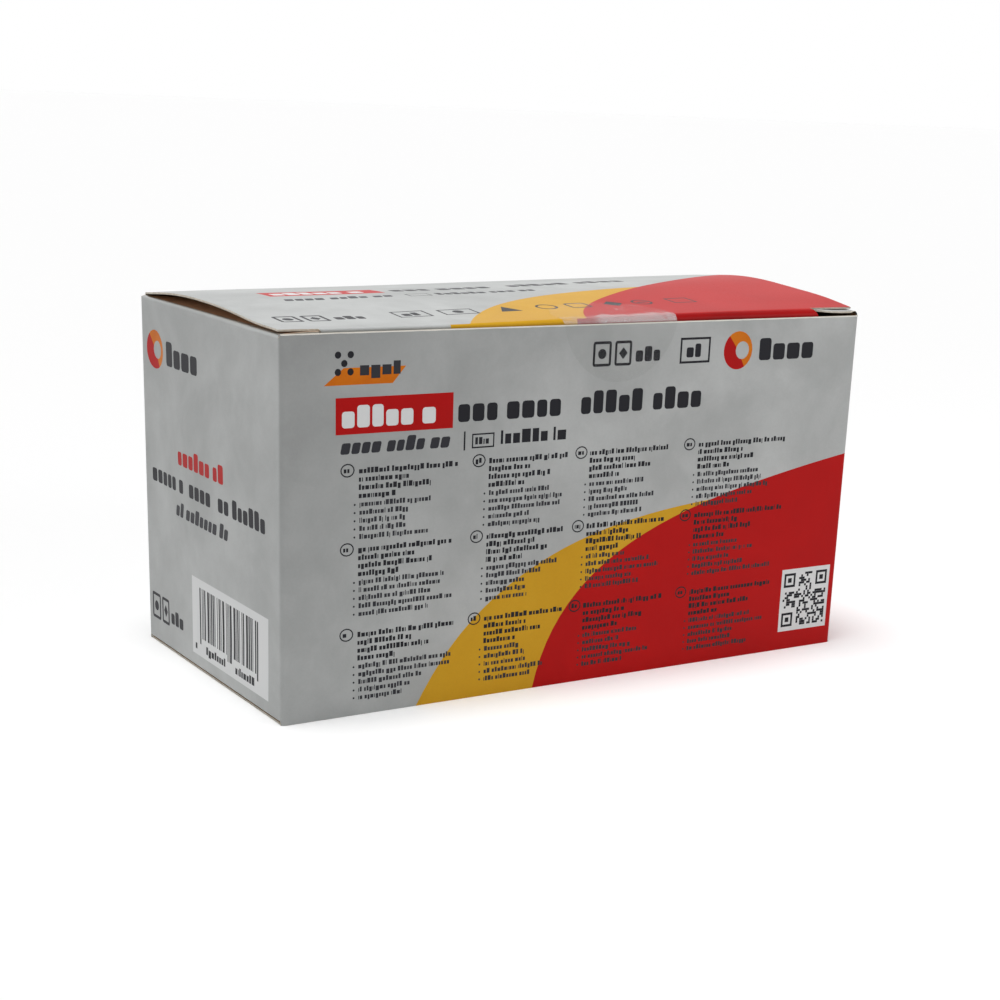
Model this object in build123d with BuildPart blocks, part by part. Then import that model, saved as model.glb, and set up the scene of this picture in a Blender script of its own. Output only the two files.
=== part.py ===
from build123d import *
import os

# ---------------------------------------------------------------------------
# Folding carton for a small rapid-test kit, shut and sealed, in millimetres.
# Frame: origin at the middle of the underside, +Z up, the long front panel
# faces -Y, the striped end panel faces -X.
#
# The carton is one folded sheet of board, shut round its contents, so it is
# one closed solid with its true outside: four side panels, the front panel's
# raw top edge, the bowed lid with its fold and tuck flap behind the front
# panel, the slits at both ends of that fold, and the lens-shaped gaps between
# the lid and the dust flaps at both ends.
# The seal is a round film folded over the lid's front fold.
# ---------------------------------------------------------------------------

# --- carton body -----------------------------------------------------------
LENGTH = 149.0          # along X, outside of the end panels
DEPTH = 74.0            # along Y, outside of the front and back panels
HEIGHT = 80.0           # the front panel's raw top edge
BOARD = 0.45            # thickness of the carton board
CREASE_R = 1.0          # outside radius of the four upright creases
SEAM = 0.16             # gap between the front panel and a tuck flap
SEAM_DEPTH = 1.1        # how far that gap goes down before the board touches

# --- lid -------------------------------------------------------------------
# Height of the lid's upper face above HEIGHT, read at five stations along X
# (left free edge to right free edge) and eight places along Y (front to back).
LID_X = [-74.25, -37.0, 0.0, 37.0, 73.6]
LID_Y = [-36.0, -26.0, -14.0, -2.0, 10.0, 22.0, 31.0, 36.0]
LID_Z = [
    [0.80, 1.10, 1.95, 2.50, 2.57, 2.00, 1.12, 0.50],
    [0.80, 1.38, 2.28, 2.85, 2.86, 2.20, 1.52, 0.95],
    [1.34, 1.98, 2.88, 3.52, 3.46, 2.78, 2.00, 1.05],
    [1.75, 2.57, 3.51, 4.30, 4.20, 3.35, 2.50, 1.30],
    [1.72, 3.08, 4.15, 5.02, 5.00, 3.95, 2.85, 1.55],
]
FOLD_R = [0.42, 0.50, 1.05, 1.55, 1.55]     # radius of the lid's front fold
BACK_R = [0.50, 0.80, 0.90, 1.05, 1.10]     # run of the soft fold at the back
TUCK_Y = -DEPTH / 2 + BOARD + SEAM          # outer face of the tuck flap
SLIT_LEFT = 8.8         # length of the slit at the left end of the fold
SLIT_RIGHT = 12.8       # length of the slit at the right end of the fold
SET_LEFT = 0.55         # how far the lid's raw edge there is set back
SET_RIGHT = 1.50

# --- dust flaps ------------------------------------------------------------
FLAP_R = 1.0            # outside radius of the left dust flap's crease
FLAP_LENGTH = 34.0      # how far in the flap rises to the lid
FLAP_RISE_LEFT = 2.9
FLAP_RISE_RIGHT = 4.9
FLAP_BULGE = 1.2        # the right flap springs this high over its crease
FLAP_TIP = 8.6          # how far in the right flap's front edge reaches the fold
FLAP_SLANT = 2.6        # run of the slanted cut that follows

# --- underside -------------------------------------------------------------
BASE_INSET = 0.30       # the bottom panel's ends stop this far from the ends
BASE_SEAM = 0.16
BASE_SEAM_DEPTH = 0.5

# --- seal ------------------------------------------------------------------
SEAL_D = 30.0           # diameter of the round film
SEAL_T = 0.10           # its thickness
SEAL_X = 6.4            # its centre along the fold
SEAL_UP = 2.4           # its centre above the front panel's raw edge, developed

os.makedirs("parts", exist_ok=True)

FRONT = -DEPTH / 2
BACK = DEPTH / 2
END = LENGTH / 2


def lid_profile(i, grow=0.0):
    """The lid's outline at station i, moved outward by grow: the fold's foot and
    top, the points along the crown, and the back fold's start and foot."""
    r, rb = FOLD_R[i] + grow, BACK_R[i]
    front = HEIGHT + LID_Z[i][0] + grow
    crown = [(y, HEIGHT + z + grow) for y, z in zip(LID_Y[1:-1], LID_Z[i][1:-1])]
    foot = (TUCK_Y - grow, front - r)
    top = (TUCK_Y - grow + r, front)
    rear = (BACK + grow - rb, HEIGHT + LID_Z[i][-1] + grow)
    heel = (BACK + grow, HEIGHT)
    lead = (crown[0][1] - front) / (crown[0][0] - top[0])
    fall = (rear[1] - crown[-1][1]) / (rear[0] - crown[-1][0]) * 1.15
    return foot, top, crown, rear, heel, lead, fall


def fold_points(foot, top, lead):
    """Control points of the lid's front fold, a soft quarter turn."""
    r = top[0] - foot[0]
    return [
        foot,
        (foot[0], foot[1] + 0.56 * (top[1] - foot[1])),
        (top[0] - 0.52 * r, top[1] - 0.52 * r * lead),
        top,
    ]


def bezier_at(points, t):
    a, b, c, d = points
    k = [(1 - t) ** 3, 3 * t * (1 - t) ** 2, 3 * t * t * (1 - t), t ** 3]
    return tuple(k[0] * a[n] + k[1] * b[n] + k[2] * c[n] + k[3] * d[n] for n in (0, 1))


def bezier_from(points, t):
    """Control points of the part of a curve that lies after t."""
    rows = [list(points)]
    while len(rows[-1]) > 1:
        last = rows[-1]
        rows.append([tuple(last[m][n] + (last[m + 1][n] - last[m][n]) * t for n in (0, 1))
                     for m in range(len(last) - 1)])
    return [row[-1] for row in reversed(rows)]


def flap_top(side):
    """Draws the upper face of a dust flap, seen along Y: the left one is level at
    its crease and then springs up until it meets the lid, the right one bulges up
    from its crease first. Returns the line's two ends."""
    if side < 0:
        start = (-END + FLAP_R, HEIGHT)
        mid = (-END + FLAP_R + 0.42 * FLAP_LENGTH, HEIGHT + 0.46 * FLAP_RISE_LEFT)
        tip = (-END + FLAP_R + FLAP_LENGTH, HEIGHT + FLAP_RISE_LEFT)
        Spline(start, mid, tip, tangents=[(1, 0.02), (1, 0.07)])
    else:
        start = (END, HEIGHT)
        crest = (END - FLAP_BULGE, HEIGHT + FLAP_BULGE)
        half = FLAP_BULGE * 0.70711
        ThreePointArc(start, (END - FLAP_BULGE + half, HEIGHT + half), crest)
        tip = (END - FLAP_R - FLAP_LENGTH, HEIGHT + FLAP_RISE_RIGHT)
        Spline(crest, (END - 9.0, HEIGHT + FLAP_BULGE + 0.25), (END - 17.0, HEIGHT + 2.6), tip,
               tangents=[(-1, 0.0), (-1, 0.07)])
    return start, tip


# --- the space under the lid at both ends ----------------------------------
# The lid's underside, one board thickness in from its upper face.
with BuildPart() as lid_gap:
    for i, x in enumerate(LID_X):
        foot, top, crown, rear, heel, lead, fall = lid_profile(i)
        with BuildSketch(Plane.YZ.offset(x)):
            with BuildLine():
                under = [(TUCK_Y + 0.05, HEIGHT + LID_Z[i][0] - BOARD)]
                under += [(y, z - BOARD) for y, z in crown]
                under += [(BACK - BOARD - 0.35, rear[1] - BOARD + 0.02)]
                Spline(*under)
                Line(under[-1], (under[-1][0], HEIGHT - 1.0))
                Line((under[-1][0], HEIGHT - 1.0), (under[0][0], HEIGHT - 1.0))
                Line((under[0][0], HEIGHT - 1.0), under[0])
            make_face()
    loft()
    # Only what lies above the dust flaps stays: each flap turns in over its
    # crease and springs up until it meets the lid.
    with BuildSketch(Plane.XZ):
        for side in (-1, 1):
            with BuildLine():
                start, tip = flap_top(side)
                Polyline(tip, (tip[0], HEIGHT + 12), (side * (END + 2), HEIGHT + 12),
                         (side * (END + 2), HEIGHT), start)
            make_face()
    extrude(amount=DEPTH, both=True, mode=Mode.INTERSECT)
    # Between the slits the fold and its tuck flap close the front.
    with BuildSketch(Plane.XY.offset(HEIGHT - 2)):
        with Locations((-END + SLIT_LEFT, FRONT - 1)):
            Rectangle(LENGTH - SLIT_LEFT - SLIT_RIGHT, 1 + BOARD + SEAM + 1.8,
                      align=(Align.MIN, Align.MIN))
    extrude(amount=12, mode=Mode.SUBTRACT)

# --- the slits at both ends of the front fold -------------------------------
# The tuck flap stops short of both ends. There the lid ends in a raw edge that
# is set back from the fold, and the dust flap under it shows.
with BuildPart() as corner_slits:
    for side, length, back in ((-1, SLIT_LEFT, SET_LEFT), (1, SLIT_RIGHT, SET_RIGHT)):
        with BuildSketch(Plane.XZ.offset(-TUCK_Y - back)):
            with BuildLine():
                start, tip = flap_top(side)
                Polyline(tip, (tip[0], HEIGHT + 12), (side * (END + 2), HEIGHT + 12),
                         (side * (END + 2), HEIGHT), start)
            make_face()
            with Locations((side * (END - length), HEIGHT - 5)):
                Rectangle(60, 30, align=(Align.MAX if side > 0 else Align.MIN, Align.MIN),
                          mode=Mode.SUBTRACT)
        extrude(amount=back + SEAM)
    # the shadow gap below the right flap's front edge, and its slanted end
    low = HEIGHT + FLAP_BULGE - BOARD
    with BuildSketch(Plane.XZ.offset(-TUCK_Y - 1.1)):
        with BuildLine():
            Polyline((END - SLIT_RIGHT, HEIGHT - 0.8), (END - 1.4, HEIGHT - 0.8),
                     (END - 1.4, low - 0.5), (END - 2.2, low),
                     (END - SLIT_RIGHT, low + 0.15), close=True)
        make_face()
    extrude(amount=1.1 + SEAM)
    with BuildSketch(Plane.XY.offset(HEIGHT - 0.8)):
        with BuildLine():
            Polyline((END - SLIT_RIGHT, TUCK_Y - SEAM), (END - FLAP_TIP, TUCK_Y - SEAM),
                     (END - FLAP_TIP - FLAP_SLANT, TUCK_Y + SET_RIGHT),
                     (END - SLIT_RIGHT, TUCK_Y + SET_RIGHT), close=True)
        make_face()
    extrude(amount=3.0)

# --- carton ----------------------------------------------------------------
with BuildPart() as carton:
    # four side panels shut round the contents, with rounded upright creases
    with BuildSketch():
        Rectangle(LENGTH, DEPTH)
        fillet(vertices(), radius=CREASE_R)
    extrude(amount=HEIGHT)

    # the lid with its front fold, its crown and the fold at the back panel
    for i, x in enumerate(LID_X):
        foot, top, crown, rear, heel, lead, fall = lid_profile(i)
        rb = heel[0] - rear[0]
        with BuildSketch(Plane.YZ.offset(x)):
            with BuildLine():
                Line((TUCK_Y, HEIGHT - SEAM_DEPTH), foot)
                Bezier(*fold_points(foot, top, lead))
                Spline(top, *crown, rear, tangents=[(1, lead), (1, fall)])
                Bezier(rear, (rear[0] + 0.55 * rb, rear[1] + 0.55 * rb * fall),
                       (heel[0], heel[1] + 0.55 * (rear[1] - heel[1])), heel)
                Line(heel, (BACK, HEIGHT - SEAM_DEPTH))
                Line((BACK, HEIGHT - SEAM_DEPTH), (TUCK_Y, HEIGHT - SEAM_DEPTH))
            make_face()
    loft()

    # the right dust flap's crease, bulging up past the wall's top
    with BuildSketch(Plane.XZ.offset(-FRONT - BOARD - SEAM)):
        with BuildLine():
            Line((END - FLAP_BULGE, HEIGHT - 1), (END, HEIGHT - 1))
            Line((END, HEIGHT - 1), (END, HEIGHT))
            ThreePointArc((END, HEIGHT), (END - FLAP_BULGE * 0.29289, HEIGHT + FLAP_BULGE * 0.70711),
                          (END - FLAP_BULGE, HEIGHT + FLAP_BULGE))
            Line((END - FLAP_BULGE, HEIGHT + FLAP_BULGE), (END - FLAP_BULGE, HEIGHT - 1))
        make_face()
    extrude(amount=-(DEPTH - 2 * BOARD - SEAM - 0.4))

    # the gap between the front panel and the tuck flap behind it
    with BuildSketch(Plane.XY.offset(HEIGHT - SEAM_DEPTH)):
        with Locations((0, FRONT + BOARD + SEAM / 2)):
            Rectangle(LENGTH + 4, SEAM)
    extrude(amount=SEAM_DEPTH, mode=Mode.SUBTRACT)

    # the slits at both ends of the fold
    add(corner_slits.part, mode=Mode.SUBTRACT)

    # the lens-shaped gaps over the dust flaps
    add(lid_gap.part, mode=Mode.SUBTRACT)

    # the left dust flap's rounded crease, behind the front panel's edge
    with BuildSketch(Plane.XZ.offset(-FRONT - BOARD)):
        with Locations((-END + FLAP_R, HEIGHT - FLAP_R)):
            Rectangle(FLAP_R + 1, FLAP_R + 1, align=(Align.MAX, Align.MIN))
            Circle(FLAP_R, mode=Mode.SUBTRACT)
    extrude(amount=-(DEPTH - BOARD - 0.3), mode=Mode.SUBTRACT)

    # underside: the bottom panel's raw front fold line and its two raw ends
    with BuildSketch():
        with Locations((0, FRONT + BOARD + BASE_SEAM / 2)):
            Rectangle(LENGTH - 2 * BASE_INSET, BASE_SEAM)
        for side in (-1, 1):
            with Locations((side * (END - BASE_INSET - BASE_SEAM / 2), 0)):
                Rectangle(BASE_SEAM, DEPTH - 2 * BOARD)
    extrude(amount=BASE_SEAM_DEPTH, mode=Mode.SUBTRACT)

# --- seal ------------------------------------------------------------------
# The film lies flat on the front panel, bridges from the raw edge to the fold,
# and follows the fold and the lid. Its outer and inner faces are lofted over
# the same stations as the lid, and the disc is cut from what lies between.


def film_outline(i, grow):
    """Draws one closed outline of the film's outer (grow = SEAL_T) or inner
    (grow = 0) face at station i."""
    foot, top, crown, rear, heel, lead, fall = lid_profile(i, grow)
    corner = (FRONT - grow, HEIGHT + 0.3 * grow)
    fold = fold_points(foot, top, lead)
    # the place on the fold where a straight bridge from the corner touches it
    best, touch = -1e9, 0.0
    for n in range(0, 61):
        p = bezier_at(fold, n / 60)
        lean = (p[0] - corner[0]) * -1.0 / max(p[1] - corner[1], 1e-6)
        if lean > best:
            best, touch = lean, n / 60
    rest = bezier_from(fold, touch)
    Line((corner[0], HEIGHT - 25), corner)
    Line(corner, rest[0])
    Bezier(*rest)
    Spline(top, *crown, rear, tangents=[(1, lead), (1, fall)])
    Line(rear, (rear[0], HEIGHT - 25))
    Line((rear[0], HEIGHT - 25), (corner[0], HEIGHT - 25))


with BuildPart() as film_inner:
    for i, x in enumerate(LID_X):
        with BuildSketch(Plane.YZ.offset(x)):
            with BuildLine():
                film_outline(i, 0.0)
            make_face()
    loft()

# the disc as it wraps: a round end on the front panel and one on the lid
with BuildPart() as seal_round:
    with BuildSketch(Plane.XZ.offset(-FRONT - 1.5)):
        with Locations((SEAL_X, HEIGHT + SEAL_UP)):
            Circle(SEAL_D / 2)
        with Locations((SEAL_X, HEIGHT + 0.9)):
            Rectangle(SEAL_D + 4, 20, align=(Align.CENTER, Align.MIN), mode=Mode.SUBTRACT)
    extrude(amount=3.0)
    with BuildSketch(Plane.XY.offset(HEIGHT + 0.9)):
        with Locations((SEAL_X, FRONT + 1.0)):
            Circle(SEAL_D / 2)
        with Locations((SEAL_X, FRONT - 1.0)):
            Rectangle(SEAL_D + 4, 20, align=(Align.CENTER, Align.MAX), mode=Mode.SUBTRACT)
    extrude(amount=8.0)

with BuildPart() as seal_label:
    for i, x in enumerate(LID_X):
        with BuildSketch(Plane.YZ.offset(x)):
            with BuildLine():
                film_outline(i, SEAL_T)
            make_face()
    loft()
    add(seal_round.part, mode=Mode.INTERSECT)
    add(film_inner.part, mode=Mode.SUBTRACT)
    add(carton.part, mode=Mode.SUBTRACT)

carton.part.label = "carton"
seal_label.part.label = "seal_label"
export_step(carton.part, "parts/carton.step")
export_step(seal_label.part, "parts/seal_label.step")
for piece in (carton, seal_label):
    box = piece.part.bounding_box()
    print(piece.part.label, len(piece.part.solids()), "solid(s)",
          round(piece.part.volume, 3), "mm3", box.min, box.max)
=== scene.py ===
import math
import random

import bpy
import numpy as np
from mathutils import Matrix, Vector
from mathutils.geometry import delaunay_2d_cdt


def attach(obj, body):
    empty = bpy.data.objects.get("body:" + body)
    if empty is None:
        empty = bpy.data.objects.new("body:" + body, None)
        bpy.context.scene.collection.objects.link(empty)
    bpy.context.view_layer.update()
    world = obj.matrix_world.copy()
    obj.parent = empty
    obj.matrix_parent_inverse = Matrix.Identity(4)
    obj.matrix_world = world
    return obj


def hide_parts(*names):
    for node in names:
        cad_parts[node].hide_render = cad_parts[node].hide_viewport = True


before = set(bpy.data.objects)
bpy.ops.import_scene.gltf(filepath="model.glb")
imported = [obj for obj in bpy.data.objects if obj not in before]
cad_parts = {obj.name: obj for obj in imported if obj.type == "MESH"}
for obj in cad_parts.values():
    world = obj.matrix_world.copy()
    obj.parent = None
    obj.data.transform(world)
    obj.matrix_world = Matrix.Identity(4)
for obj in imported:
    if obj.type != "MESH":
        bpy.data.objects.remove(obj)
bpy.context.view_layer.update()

MM = 0.001
scene = bpy.context.scene

# ---------------------------------------------------------------------------
# The carton is one die-cut blank. It is drawn flat in millimetres, as p along
# the girth and s up the panels, with its printed fields and its cuts. One
# function folds every point of it into place.
#
#   back   p -223 .. -74      left end   p -74 .. 0
#   front  p    0 .. 149      right end  p 149 .. 223, then the glue tab
#   lid and its tuck flap     above the back panel, s 80 .. 168
#   bottom and its tuck flap  below the back panel
#   dust flaps                above and below both ends
# ---------------------------------------------------------------------------
L, D, H = 149.0, 74.0, 80.0
BOARD = 0.38
TUCK_Y = -36.39
R = 1.0                  # outside radius of the creases

LID_X = np.array([-74.25, -37.0, 0.0, 37.0, 73.6])
LID_Y = [-36.0, -26.0, -14.0, -2.0, 10.0, 22.0, 31.0, 36.0]
LID_Z = [
    [0.80, 1.10, 1.95, 2.50, 2.57, 2.00, 1.12, 0.50],
    [0.80, 1.38, 2.28, 2.85, 2.86, 2.20, 1.52, 0.95],
    [1.34, 1.98, 2.88, 3.52, 3.46, 2.78, 2.00, 1.05],
    [1.75, 2.57, 3.51, 4.30, 4.20, 3.35, 2.50, 1.30],
    [1.72, 3.08, 4.15, 5.02, 5.00, 3.95, 2.85, 1.55],
]
FOLD_R = [0.42, 0.50, 1.05, 1.55, 1.55]
BACK_R = [0.50, 0.80, 0.90, 1.05, 1.10]
S_REAR, S_TOP, S_FOOT, S_TUCK = 82.0, 154.0, 156.0, 167.5


def spline(xk, yk, ends=None):
    """Cubic spline through (xk, yk). ends gives its two end slopes, and without
    them the first and last two spans are one cubic each. yk may have columns."""
    xk, yk = np.asarray(xk, float), np.asarray(yk, float)
    n, h = len(xk), np.diff(xk)
    step = (np.diff(yk, axis=0).T / h).T
    a, b = np.zeros((n, n)), np.zeros(yk.shape)
    for i in range(1, n - 1):
        a[i, i - 1], a[i, i], a[i, i + 1] = h[i], 2 * (h[i - 1] + h[i]), h[i - 1]
        b[i] = 3 * (h[i] * step[i - 1] + h[i - 1] * step[i])
    if ends is None:
        a[0, 0], a[0, 1] = h[1], h[0] + h[1]
        b[0] = ((h[0] + 2 * (h[0] + h[1])) * h[1] * step[0] + h[0] ** 2 * step[1]) / (h[0] + h[1])
        a[-1, -1], a[-1, -2] = h[-2], h[-1] + h[-2]
        b[-1] = (h[-1] ** 2 * step[-2] + (2 * (h[-1] + h[-2]) + h[-1]) * h[-2] * step[-1]) / (h[-1] + h[-2])
    else:
        a[0, 0] = a[-1, -1] = 1
        b[0], b[-1] = ends
    m = np.linalg.solve(a, b)

    def at(x):
        x = np.asarray(x, float)
        k = np.clip(np.searchsorted(xk, x) - 1, 0, n - 2)
        t = (x - xk[k]) / h[k]
        hk = h[k]
        if yk.ndim > 1:
            t, hk = t[:, None], hk[:, None]
        return (yk[k] * (1 + 2 * t) * (1 - t) ** 2 + yk[k + 1] * t * t * (3 - 2 * t)
                + hk * m[k] * t * (1 - t) ** 2 - hk * m[k + 1] * t * t * (1 - t))
    return at


def bezier(c, t):
    t = np.clip(np.asarray(t, float), 0, 1)[:, None]
    c = np.asarray(c, float)
    return ((1 - t) ** 3 * c[0] + 3 * t * (1 - t) ** 2 * c[1]
            + 3 * t * t * (1 - t) * c[2] + t ** 3 * c[3])


ACROSS = spline(LID_X, np.eye(5))       # weights of the five stations at any x


class Station:
    """The lid's outline at one station, from the back crease to the tuck flap."""

    def __init__(self, i):
        r, rb = FOLD_R[i], BACK_R[i]
        z0, z1 = H + LID_Z[i][0], H + LID_Z[i][-1]
        crown = [(y, H + z) for y, z in zip(LID_Y[1:-1], LID_Z[i][1:-1])]
        self.foot = (TUCK_Y, z0 - r)
        self.top = (TUCK_Y + r, z0)
        self.rear = (D / 2 - rb, z1)
        lead = (crown[0][1] - z0) / (crown[0][0] - self.top[0])
        fall = (z1 - crown[-1][1]) / (self.rear[0] - crown[-1][0]) * 1.15
        pts = [self.top] + crown + [self.rear]
        self.crown = spline([q[0] for q in pts], [q[1] for q in pts], (lead, fall))
        self.back = [(D / 2, H), (D / 2, H + 0.45 * (z1 - H)),
                     (self.rear[0] + 0.55 * rb, z1 + 0.55 * rb * fall), self.rear]
        self.fold = [self.top, (self.top[0] - 0.52 * r, z0 - 0.52 * r * lead),
                     (TUCK_Y, self.foot[1] + 0.56 * r), self.foot]

    def yz(self, s):
        s = np.asarray(s, float)
        y = self.rear[0] + (self.top[0] - self.rear[0]) * (s - S_REAR) / (S_TOP - S_REAR)
        out = np.stack([y, self.crown(np.clip(y, self.top[0], self.rear[0]))], 1)
        k = s < S_REAR
        out[k] = bezier(self.back, (s[k] - H) / (S_REAR - H))
        k = s > S_TOP
        out[k] = bezier(self.fold, (s[k] - S_TOP) / (S_FOOT - S_TOP))
        k = s > S_FOOT
        out[k, 0] = TUCK_Y
        out[k, 1] = self.foot[1] - (s[k] - S_FOOT)
        return out


STATIONS = [Station(i) for i in range(5)]


def lid_at(x, s):
    """Places of the points of the lid at x and s."""
    w = ACROSS(np.clip(x, LID_X[0] - 0.6, LID_X[-1] + 0.6))
    yz = sum(w[:, i:i + 1] * STATIONS[i].yz(s) for i in range(5))
    return np.column_stack([x, yz])


def lid_height(x, y):
    """Height of the lid's upper face over a point."""
    w = ACROSS(np.clip(x, LID_X[0], LID_X[-1]))
    rear = w @ np.array([q.rear[0] for q in STATIONS])
    top = w @ np.array([q.top[0] for q in STATIONS])
    s = S_REAR + (rear - y) / (rear - top) * (S_TOP - S_REAR)
    return lid_at(x, np.clip(s, S_REAR, S_TOP))[:, 2]


def bump(a, centre, width):
    return np.exp(-((a - centre) / width) ** 2)


def waves(a, b, seed, size):
    """Smooth seeded waves of about the given size, between -1 and 1."""
    rng = np.random.RandomState(seed)
    out = np.zeros_like(a)
    for _ in range(7):
        t, q = rng.uniform(0, math.pi), rng.uniform(0, 2 * math.pi)
        k = 2 * math.pi / (size * rng.uniform(0.7, 1.6))
        out += np.sin(k * (a * math.cos(t) + b * math.sin(t)) + q)
    return out / 4.2


def smooth(a, lo, hi):
    t = np.clip((a - lo) / (hi - lo), 0, 1)
    return t * t * (3 - 2 * t)


def sunk(p, s):
    """How far the panels have sunk in from flat, in millimetres. Never outward."""
    out = np.zeros_like(p)
    edge = smooth(s, 0, 14) * smooth(H - s, 0, 10)
    # front: slightly hollow, a soft dent under the fold and a wave in its raw edge
    k = (p >= 0) & (p <= L)
    a, b = p[k], s[k]
    side = smooth(a, 0, 12) * smooth(L - a, 0, 12)
    d = 0.16 * edge[k] * side * (1 + 0.8 * waves(a, b, 3, 55))
    d += 0.10 * bump(a, 123.0, 9.0) * bump(b, 76.5, 3.0) * side
    d += smooth(b, 66, 80) * side * (0.05 + 0.05 * waves(a, b * 0, 5, 34))
    out[k] = d
    # left end: soft upright ripples below the lid
    k = (p < 0) & (p > -D)
    a, b = p[k] + D, s[k]
    side = smooth(a, 0, 10) * smooth(D - a, 0, 8)
    d = 0.20 * edge[k] * side * (1 + 0.7 * waves(a, b, 8, 42))
    d += 0.10 * side * smooth(b, 30, 74) * smooth(H - b, 0, 5) * (
        1 + np.sin(a / 3.6 + 0.9 * np.sin(b / 13.0)))
    out[k] = d
    # right end and back
    k = (p > L) & (p < L + D)
    a, b = p[k] - L, s[k]
    out[k] = 0.22 * edge[k] * smooth(a, 0, 10) * smooth(D - a, 0, 10) * (1 + 0.7 * waves(a, b, 11, 40))
    k = (p < -D) & (s <= H)
    a, b = p[k] + D + L, s[k]
    out[k] = 0.20 * edge[k] * smooth(a, 0, 10) * smooth(L - a, 0, 12) * (1 + 0.8 * waves(a, b, 17, 60))
    return np.maximum(out, 0)


def corner(t):
    """Quarter turn of radius R about an upright crease: t from -1 to 1 gives the
    distances from the corner along the first and the second wall."""
    a = (np.clip(t, -1, 1) + 1) * math.pi / 4
    return R - R * np.sin(a), R - R * np.cos(a)


def girth(p):
    """x and y of the wall at p."""
    x, y = np.zeros_like(p), np.zeros_like(p)
    k = p < -D
    x[k], y[k] = -148.5 - p[k], D / 2
    k = (p >= -D) & (p < 0)
    x[k], y[k] = -L / 2, -D / 2 - p[k]
    k = (p >= 0) & (p < L)
    x[k], y[k] = -L / 2 + p[k], -D / 2
    k = (p >= L) & (p < L + D)
    x[k], y[k] = L / 2, -D / 2 + (p[k] - L)
    k = p >= L + D
    x[k], y[k] = L / 2 - (p[k] - L - D), D / 2 - 0.5
    for at, sx, sy, first in ((-D, -1, 1, "y"), (0.0, -1, -1, "x"), (L, 1, -1, "y")):
        k = np.abs(p - at) < 1
        u, v = corner(p[k] - at)
        du, dv = (u, v) if first == "y" else (v, u)
        x[k] = sx * (L / 2 - du)
        y[k] = sy * (D / 2 - dv)
    # the glue tab turns in half a millimetre below the back panel
    k = np.abs(p - L - D) < 1
    a = (p[k] - L - D + 1) * math.pi / 4
    x[k] = L / 2 - R + R * np.cos(a)
    y[k] = D / 2 - 0.5 - R + R * np.sin(a)
    k = (p > L + 40) & (p <= L + D - 1)
    y[k] -= 0.5 * smooth(p[k], L + 40, L + D - 1)
    return x, y


FLAP = {-1: spline([0.0, 14.28, 34.0], [0.0, 0.46 * 2.9, 2.9], (0.02, 0.07)),
        1: spline([0.0, 7.8, 15.8, 33.8], [0.0, 0.25, 1.4, 3.7], (0.0, 0.07))}
BULGE = 1.2              # the right flap springs this high over its crease
POST_A, POST_B = 0.675, 0.95     # the upright creases end in posts this wide


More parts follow.
